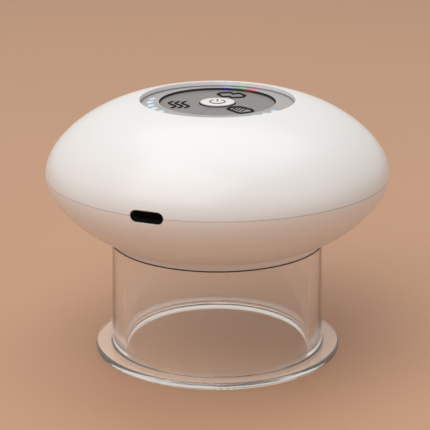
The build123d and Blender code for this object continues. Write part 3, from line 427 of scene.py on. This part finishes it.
# Metals. The stretch is the density of the grain along X, Y and Z
metalFinishes = {
    "pearlSilver": {
        "color": (0.95, 0.945, 0.94), "metallic": 0.45, "roughness": 0.28, "spread": 0.03,
        "toneShift": 0.02, "stretch": (2600.0, 2600.0, 2600.0), "depth": 0.0005 * mm, "coat": 0.3,
        # painted shade: the button's edge and side face, between 4.9 and 6.0 mm from the axis, are
        # darkened
        "wall": {"outside": 4.9 * mm, "inside": 6.0 * mm, "color": (0.2, 0.19, 0.19)},
    },
    "platedSteel": {
        "color": (0.62, 0.61, 0.59), "metallic": 1.0, "roughness": 0.28, "spread": 0.14,
        "toneShift": 0.12, "stretch": (500.0, 6000.0, 6000.0), "depth": 0.006 * mm, "coat": 0.0,
    },
    # black-plated steel, made flat near-black with no metal shine, so that it is also painted shade deep
    # inside the port
    "blackSteelAndShade": {
        "color": (0.004, 0.004, 0.004), "metallic": 0.0, "roughness": 0.7, "spread": 0.12,
        "toneShift": 0.2, "stretch": (3000.0, 3000.0, 3000.0), "depth": 0.006 * mm, "coat": 0.0,
    },
    "satinAluminium": {
        "color": (0.77, 0.77, 0.78), "metallic": 1.0, "roughness": 0.36, "spread": 0.12,
        "toneShift": 0.08, "stretch": (700.0, 9000.0, 700.0), "depth": 0.004 * mm, "coat": 0.0,
    },
    "ferrite": {
        "color": (0.07, 0.07, 0.075), "metallic": 0.3, "roughness": 0.65, "spread": 0.12,
        "toneShift": 0.25, "stretch": (4000.0, 4000.0, 4000.0), "depth": 0.015 * mm, "coat": 0.0,
    },
    "copperWire": {
        "color": (0.62, 0.25, 0.1), "metallic": 1.0, "roughness": 0.35, "spread": 0.15,
        "toneShift": 0.35, "stretch": (600.0, 600.0, 14000.0), "depth": 0.03 * mm, "coat": 0.2,
    },
}


def makeMetal(name, settings):
    material, tree, shader = newMaterial(name)
    grain = placeGroup(tree, metalGrain, {
        "Color": rgba(settings["color"]),
        "Stretch": settings["stretch"],
        "Tone Shift": settings["toneShift"],
        "Roughness": settings["roughness"],
        "Roughness Spread": settings["spread"],
    })
    color = grain.outputs["Color"]
    if "wall" in settings:
        color = paintWallShade(tree, color, settings["wall"])
    tree.links.new(color, shader.inputs["Base Color"])
    tree.links.new(grain.outputs["Roughness"], shader.inputs["Roughness"])
    bumpFrom(tree, grain.outputs["Height"], settings["depth"], shader)
    shader.inputs["Metallic"].default_value = settings["metallic"]
    shader.inputs["Coat Weight"].default_value = settings["coat"]
    return material


# Printed circuit boards
boardSettings = {"roughness": 0.35, "trackDepth": 0.02 * mm}


def makeBoard(name, settings):
    material, tree, shader = newMaterial(name)
    tracks = placeGroup(tree, boardTracks, {})
    tree.links.new(tracks.outputs["Color"], shader.inputs["Base Color"])
    bumpFrom(tree, tracks.outputs["Height"], settings["trackDepth"], shader)
    shader.inputs["Roughness"].default_value = settings["roughness"]
    return material


# Clear plastics. Lamps reach what is behind them through the second shader
clearFinishes = {
    "cupClear": {
        "color": (0.985, 0.99, 0.99), "index": 1.49, "roughness": 0.012, "spread": 0.01,
        "waveScale": 55.0, "waveDepth": 0.01 * mm, "clarity": 0.96,
    },
    "windowClear": {
        "color": (0.94, 0.95, 0.96), "index": 1.49, "roughness": 0.16, "spread": 0.05,
        "waveScale": 400.0, "waveDepth": 0.01 * mm, "clarity": 1.0,
    },
    "siliconeClear": {
        "color": (0.85, 0.86, 0.86), "index": 1.41, "roughness": 0.35, "spread": 0.08,
        "waveScale": 700.0, "waveDepth": 0.02 * mm, "clarity": 1.0,
    },
}


clearToneShift = 0.01


def makeClear(name, settings):
    material, tree, shader = newMaterial(name)
    skin = placeGroup(tree, mouldedSkin, {
        "Color": rgba(settings["color"]),
        "Tone Shift": clearToneShift,
        "Grain Scale": settings["waveScale"],
        "Roughness": settings["roughness"],
        "Roughness Spread": settings["spread"],
    })
    tree.links.new(skin.outputs["Color"], shader.inputs["Base Color"])
    tree.links.new(skin.outputs["Roughness"], shader.inputs["Roughness"])
    bumpFrom(tree, skin.outputs["Height"], settings["waveDepth"], shader)
    shader.inputs["Transmission Weight"].default_value = settings["clarity"]
    shader.inputs["IOR"].default_value = settings["index"]
    through = tree.nodes.new("ShaderNodeBsdfTransparent")
    through.inputs["Color"].default_value = rgba(settings["color"])
    rays = tree.nodes.new("ShaderNodeLightPath")
    join = tree.nodes.new("ShaderNodeMixShader")
    tree.links.new(rays.outputs["Is Shadow Ray"], join.inputs["Fac"])
    tree.links.new(shader.outputs["BSDF"], join.inputs[1])
    tree.links.new(through.outputs["BSDF"], join.inputs[2])
    tree.links.new(join.outputs["Shader"], tree.nodes["Material Output"].inputs["Surface"])
    return material


# Lit light pipes, brightest at one distance from the axis and fading to both sides of it
lightFinishes = {
    "glowIce": {
        "lit": (0.52, 0.64, 0.73), "edge": (0.34, 0.46, 0.55), "strength": 0.3,
        "brightRing": 19.5 * mm, "fadeOver": 1.3 * mm,
    },
    "glowBlue": {
        "lit": (0.44, 0.62, 0.9), "edge": (0.02, 0.014, 0.16), "strength": 0.2,
        "brightRing": 21.4 * mm, "fadeOver": 4.3 * mm,
    },
    "glowGreen": {
        "lit": (0.26, 0.62, 0.32), "edge": (0.012, 0.05, 0.02), "strength": 0.2,
        "brightRing": 21.4 * mm, "fadeOver": 4.3 * mm,
    },
    "glowRed": {
        "lit": (0.92, 0.2, 0.26), "edge": (0.24, 0.008, 0.014), "strength": 0.2,
        "brightRing": 21.4 * mm, "fadeOver": 4.3 * mm,
    },
}


pipeRoughness = 0.25


def makeLight(name, settings):
    material, tree, shader = newMaterial(name)
    glow = placeGroup(tree, glowSpread, {
        "Lit Color": rgba(settings["lit"]),
        "Edge Color": rgba(settings["edge"]),
        "Ring Radius": settings["brightRing"],
        "Half Width": settings["fadeOver"],
    })
    tree.links.new(glow.outputs["Color"], shader.inputs["Base Color"])
    tree.links.new(glow.outputs["Color"], shader.inputs["Emission Color"])
    shader.inputs["Emission Strength"].default_value = settings["strength"]
    shader.inputs["Roughness"].default_value = pipeRoughness
    return material


finishes = {}
for makeOne, settingsByName in (
    (makePlastic, plasticFinishes),
    (makeMetal, metalFinishes),
    (makeBoard, {"boardGreen": boardSettings}),
    (makeClear, clearFinishes),
    (makeLight, lightFinishes),
):
    for finishName, finishSettings in settingsByName.items():
        finishes[finishName] = makeOne(finishName, finishSettings)
print("finishes ready:", len(finishes))

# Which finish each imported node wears
nodeFinishes = {
    "shellWhite": ["upper_shell", "lower_shell"],
    "collarGrey": ["cup_socket"],
    "cupClear": ["cup"],
    "siliconeClear": ["cup_seal", "suction_elbow"],
    "ringGrey": ["panel_ring"],
    "keyGrey": ["key_heat", "key_scrape", "key_suction"],
    "pearlSilver": ["power_button"],
    "glowIce": ["heat_level_lights", "suction_level_lights"],
    "glowBlue": ["mode_light_blue"],
    "glowGreen": ["mode_light_green"],
    "glowRed": ["mode_light_red"],
    "portBlackAndShade": ["port_bezel", "usb_tongue"],
    "blackSteelAndShade": ["usb_socket"],
    "windowClear": ["light_window"],
    "satinAluminium": ["heating_plate"],
    "filterFoam": ["inlet_filter"],
    "lampWhite": ["treatment_leds", "indicator_leds"],
    "boardGreen": ["main_board", "light_board", "charging_board"],
    "innerBlack": [
        "key_guide", "switch_bodies", "board_parts", "motor_end_cap", "pump_housing", "pump_cover",
    ],
    "innerNatural": [
        "power_plunger", "heat_plunger", "scrape_plunger", "suction_plunger", "inner_frame",
        "pump_crank", "wobble_plate", "pump_valve_plate",
    ],
    "sleeveBlack": ["motor_sleeve", "pump_diaphragm", "valve_tip"],
    "cellBlue": ["battery_sleeve"],
    "amberFilm": ["heater_film"],
    "wireRed": ["lead_wires"],
    "platedSteel": [
        "shell_screws", "board_screws", "pump_screws", "battery_cell", "battery_tabs", "motor_can",
        "motor_shaft", "valve_yoke", "valve_plunger", "valve_spring",
    ],
    "ferrite": ["motor_magnets"],
    "copperWire": ["motor_armature", "valve_coil"],
}
for finishName, names in nodeFinishes.items():
    for name in names:
        nodes[name].data.materials.clear()
        nodes[name].data.materials.append(finishes[finishName])
print("nodes dressed")

# Printed symbols: strokes of ink with soft edges, laid on the keys and on the button
inkSettings = {
    "thickness": 0.05 * mm,
    "sink": 0.02 * mm,
    "softEdge": 0.08 * mm,
    "crossbarShare": 1.9,  # strokes drawn across the panel are bolder than those towards the user
    "stationGap": 0.12 * mm,
    "capSteps": 6,
    "capPoint": 0.04,  # share of the half width left at a stroke's end
    "softShare": 0.6,  # most of the half width that a soft edge takes
    "bendShare": 0.45,  # most of a run that a rounded corner takes
}


def samplePath(points, closed, gap):
    # even stations along straight runs, for a stroke with crisp corners
    corners = [*points, points[0]] if closed else list(points)
    stations = []
    for (ax, ay), (bx, by) in zip(corners, corners[1:]):
        length = math.hypot(bx - ax, by - ay)
        count = max(1, round(length / gap))
        for step in range(count):
            share = step / count
            stations.append((ax + (bx - ax) * share, ay + (by - ay) * share))
    if not closed:
        stations.append(corners[-1])
    return stations


def roundedPath(points, radius, steps=6):
    # a closed outline with its corners replaced by short quadratic bends
    rounded = []
    count = len(points)
    for index, corner in enumerate(points):
        before, after = points[index - 1], points[(index + 1) % count]
        ends = []
        for other in (before, after):
            reach = math.hypot(other[0] - corner[0], other[1] - corner[1])
            share = min(inkSettings["bendShare"], radius / reach)
            ends.append(tuple(corner[axis] + (other[axis] - corner[axis]) * share for axis in (0, 1)))
        for step in range(steps + 1):
            t = step / steps
            rounded.append(tuple(
                (1 - t) ** 2 * ends[0][axis] + 2 * t * (1 - t) * corner[axis] + t * t * ends[1][axis]
                for axis in (0, 1)
            ))
    return rounded


def strokeRings(path, width, closed):
    # (x, y, direction, half width) at each station, narrowing to round ends on an open stroke
    count = len(path)
    rings = []
    for index, (x, y) in enumerate(path):
        before = path[index - 1] if closed or index else path[0]
        after = path[(index + 1) % count] if closed or index < count - 1 else path[-1]
        rings.append([x, y, math.atan2(after[1] - before[1], after[0] - before[0]), width / 2])
    if closed:
        return rings
    capped = []
    for end, sign in ((rings[0], -1), (rings[-1], 1)):
        x, y, turn, half = end
        cap = []
        for step in range(inkSettings["capSteps"], 0, -1):
            lean = math.pi / 2 * step / inkSettings["capSteps"]
            reach = math.sin(lean) * half
            slim = max(inkSettings["capPoint"], math.cos(lean)) * half
            along = sign * reach
            cap.append([x + along * math.cos(turn), y + along * math.sin(turn), turn, slim])
        capped.append(cap)
    return [*capped[0], *rings, *reversed(capped[1])]


def layStroke(mesh, path, width, closed, heightAt):
    rings = []
    for x, y, turn, half in strokeRings(path, width, closed):
        side = (-math.sin(turn), math.cos(turn) * inkSettings["crossbarShare"])
        soft = min(inkSettings["softEdge"], half * inkSettings["softShare"])
        ring = []
        for across, lift in (
            (-half, -inkSettings["sink"]),
            (soft - half, inkSettings["thickness"]),
            (half - soft, inkSettings["thickness"]),
            (half, -inkSettings["sink"]),
        ):
            spot = (x + side[0] * across, y + side[1] * across)
            ring.append(mesh.verts.new((*spot, heightAt(*spot) + lift)))
        rings.append(ring)
    pairs = list(zip(rings, rings[1:]))
    if closed:
        pairs.append((rings[-1], rings[0]))
    for first, second in pairs:
        for corner in range(len(first)):
            follow = (corner + 1) % len(first)
            mesh.faces.new((first[corner], second[corner], second[follow], first[follow]))
    if not closed:
        mesh.faces.new(rings[0])
        mesh.faces.new(list(reversed(rings[-1])))


def addPiece(name, mesh, finishName, body):
    bmesh.ops.recalc_face_normals(mesh, faces=mesh.faces)
    data = bpy.data.meshes.new(name)
    mesh.to_mesh(data)
    mesh.free()
    for face in data.polygons:
        face.use_smooth = True
    data.materials.append(finishes[finishName])
    piece = bpy.data.objects.new(name, data)
    scene.collection.objects.link(piece)
    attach(piece, body)


def printSymbol(name, strokes, heightAt, body, finishName):
    mesh = bmesh.new()
    for path, width, closed in strokes:
        layStroke(mesh, path, width, closed, heightAt)
    addPiece(name, mesh, finishName, body)


def keyFace(node):
    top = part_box(node)[1].z
    return lambda x, y: top


# Heat: three rising waves
heatSymbol = {
    "middle": (-11.1 * mm, -1.9 * mm),
    "pitch": 1.9 * mm,
    "length": 7.6 * mm,
    "swing": 0.95 * mm,
    "stroke": 0.92 * mm,
    "steps": 40,
}


def heatStrokes(settings):
    strokes = []
    for column in (-1, 0, 1):
        path = []
        for step in range(settings["steps"] + 1):
            share = step / settings["steps"]
            sway = settings["swing"] * math.sin(2 * math.pi * share)
            path.append((
                settings["middle"][0] + column * settings["pitch"] + sway,
                settings["middle"][1] + (share - 0.5) * settings["length"],
            ))
        strokes.append((path, settings["stroke"], False))
    return strokes


# Scraping: the outline of two plates drawn across each other
scrapeSymbol = {
    "middle": (4.2, 10.0),
    "outline": [
        (-4.1, 1.0), (-3.3, 2.8), (-0.2, 3.2), (0.5, 1.4), (2.3, 2.3),
        (4.0, -0.6), (3.2, -2.7), (-0.1, -3.2), (-0.7, -1.6), (-2.6, -2.1),
    ],
    "cornerRound": 0.25 * mm,
    "stroke": 1.02 * mm,
    "bars": [],
}


def outlineStrokes(settings):
    # a closed outline and the bars in it, both given in millimetres from the symbol's middle
    x, y = settings["middle"]

    def placed(points):
        return [((x + dx) * mm, (y + dy) * mm) for dx, dy in points]

    bent = roundedPath(placed(settings["outline"]), settings["cornerRound"])
    strokes = [(samplePath(bent, True, inkSettings["stationGap"]), settings["stroke"], True)]
    for bar in settings["bars"]:
        path = samplePath(placed(bar), False, inkSettings["stationGap"])
        strokes.append((path, settings["barStroke"], False))
    return strokes


# Suction: a rounded cup outline, turned a little, with bars in it
suctionSymbol = {
    "middle": (6.5, -8.3),
    "outline": [
        (-3.6, 1.3), (-2.7, 3.2), (-0.2, 4.0), (3.0, 0.8), (3.6, -1.1),
        (3.0, -2.4), (0.6, -3.8), (-0.4, -3.5), (-2.9, -0.2),
    ],
    "cornerRound": 0.3 * mm,
    "stroke": 1.05 * mm,
    "bars": [
        [(-2.3, 0.6), (-1.4, 2.4)], [(-1.5, -0.1), (-0.4, 2.5)],
        [(-0.7, -1.0), (0.6, 2.1)], [(0.3, -1.7), (1.5, 1.1)],
    ],
    "barStroke": 0.5 * mm,
}


# Power: a generic open ring with a bar, on the button's dome
powerSymbol = {
    "middle": -0.5 * mm,  # along Y
    "radius": 2.2 * mm,
    "openHalf": 34.0,  # degrees to each side of the bar
    "stroke": 0.5 * mm,
    "barLow": 0.3 * mm,
    "barHigh": 2.7 * mm,
    "domeRise": 0.25 * mm,
    "domeRadius": 5.05 * mm,
    "steps": 60,
}


def powerStrokes(settings):
    middle = settings["middle"]
    start = 90 + settings["openHalf"]
    sweep = 360 - 2 * settings["openHalf"]
    radius = settings["radius"]
    arc = []
    for step in range(settings["steps"] + 1):
        angle = math.radians(start + sweep * step / settings["steps"])
        arc.append((radius * math.cos(angle), middle + radius * math.sin(angle)))
    ends = [(0, middle + settings["barLow"]), (0, middle + settings["barHigh"])]
    bar = samplePath(ends, False, inkSettings["stationGap"])
    return [(arc, settings["stroke"], False), (bar, settings["stroke"], False)]


def buttonDome(settings):
    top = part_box("power_button")[1].z
    rise, reach = settings["domeRise"], settings["domeRadius"]
    ball = (reach * reach + rise * rise) / (2 * rise)
    return lambda x, y: top - ball + math.sqrt(ball * ball - x * x - y * y)


for symbol, strokes in (
    ("heat", heatStrokes(heatSymbol)),
    ("scrape", outlineStrokes(scrapeSymbol)),
    ("suction", outlineStrokes(suctionSymbol)),
):
    printSymbol(f"{symbol}_symbol", strokes, keyFace(f"key_{symbol}"), f"{symbol}_key", "printBlack")
printSymbol(
    "power_symbol", powerStrokes(powerSymbol), buttonDome(powerSymbol), "power_button", "printGrey"
)
print("symbols printed")

# Shade rings: a thin grey ring round the panel, and a black one with a lip where the cup meets the
# collar, both dark pieces of painted shade that stand for the shaded gaps there. The points of a section
# are radius and height in millimetres
shadeRingSettings = {
    "panel_groove_shade": {
        "finish": "grooveShadeGrey",
        "section": [(22.16, 73.4), (22.39, 73.4), (22.39, 74.27), (22.16, 74.27)],
        "edgeRound": 0.06,
    },
    "cup_gap_shade": {
        "finish": "gapShadeBlack",
        "section": [
            (29.75, 33.42), (31.56, 33.42), (31.56, 33.74),
            (31.42, 33.74), (31.42, 33.59), (29.75, 33.59),
        ],
        "edgeRound": 0.04,
    },
}
shadeRingSides = 256
shadeRingEdgeSteps = 3


def turnShadeRing(name, settings):
    mesh = bmesh.new()
    profile = roundedPath(settings["section"], settings["edgeRound"], shadeRingEdgeSteps)
    rings = []
    for side in range(shadeRingSides):
        angle = 2 * math.pi * side / shadeRingSides
        rings.append([
            mesh.verts.new((radius * mm * math.cos(angle), radius * mm * math.sin(angle), height * mm))
            for radius, height in profile
        ])
    for side, ring in enumerate(rings):
        following = rings[(side + 1) % shadeRingSides]
        for corner in range(len(profile)):
            after = (corner + 1) % len(profile)
            mesh.faces.new((ring[corner], following[corner], following[after], ring[after]))
    addPiece(name, mesh, settings["finish"], "housing")


for name, settings in shadeRingSettings.items():
    turnShadeRing(name, settings)
print("gaskets turned")

# Studio: a wide pale floor, soft lamps and a pale surround
floorSettings = {
    "radius": 3.0,
    "drop": 0.05 * mm,
    "sides": 96,
    "color": (0.58, 0.335, 0.205),
    "roughness": 0.6,
    "toneShift": 0.03,
    "patchScale": 12.0,
    "grainScale": 900.0,
}


def layFloor(settings):
    mesh = bmesh.new()
    bmesh.ops.create_circle(mesh, cap_ends=True, segments=settings["sides"], radius=settings["radius"])
    data = bpy.data.meshes.new("studioFloor")
    mesh.to_mesh(data)
    mesh.free()
    material, tree, shader = newMaterial("floorPale")
    skin = placeGroup(tree, mouldedSkin, {
        "Color": rgba(settings["color"]),
        "Tone Shift": settings["toneShift"],
        "Patch Scale": settings["patchScale"],
        "Grain Scale": settings["grainScale"],
        "Roughness": settings["roughness"],
    })
    tree.links.new(skin.outputs["Color"], shader.inputs["Base Color"])
    tree.links.new(skin.outputs["Roughness"], shader.inputs["Roughness"])
    data.materials.append(material)
    floor = bpy.data.objects.new("studioFloor", data)
    floor.location.z = -settings["drop"]
    scene.collection.objects.link(floor)
    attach(floor, "cup_assembly")  # the cup stands on it, also when the body is drawn off the cup


lampSettings = {
    "keySoftbox": {"place": (-0.45, -0.6, 1.05), "size": (1.3, 1.3), "power": 10.6},
    "fillSoftbox": {"place": (0.95, -0.45, 0.55), "size": (1.0, 1.0), "power": 1.6},
    "topSoftbox": {"place": (0.05, 0.3, 1.1), "size": (1.2, 0.9), "power": 4.6},
}


def hangLamps(settingsByName):
    for name, settings in settingsByName.items():
        lamp = bpy.data.lights.new(name, "AREA")
        lamp.shape = "RECTANGLE"
        lamp.size, lamp.size_y = settings["size"]
        lamp.energy = settings["power"]
        holder = bpy.data.objects.new(name, lamp)
        holder.location = settings["place"]
        aim = (cadLow + cadHigh) / 2 - holder.location
        holder.rotation_euler = aim.to_track_quat("-Z", "Y").to_euler()
        scene.collection.objects.link(holder)


worldSettings = {"lighting": (0.22, 0.22, 0.223), "seen": (0.8, 0.73, 0.68)}


def setWorld(settings):
    world = bpy.data.worlds.new("studioSurround")
    world.use_nodes = True
    tree = world.node_tree
    rays = tree.nodes.new("ShaderNodeLightPath")
    seen = addMath(tree, "MAXIMUM", rays.outputs["Is Camera Ray"], rays.outputs["Is Transmission Ray"])
    seen = addMath(tree, "MAXIMUM", seen, rays.outputs["Is Glossy Ray"])
    shown = mixColors(tree, seen, rgba(settings["lighting"]), rgba(settings["seen"]))
    tree.links.new(shown, tree.nodes["Background"].inputs["Color"])
    scene.world = world


layFloor(floorSettings)
hangLamps(lampSettings)
setWorld(worldSettings)
scene.view_settings.view_transform = "Standard"
print("studio lit")
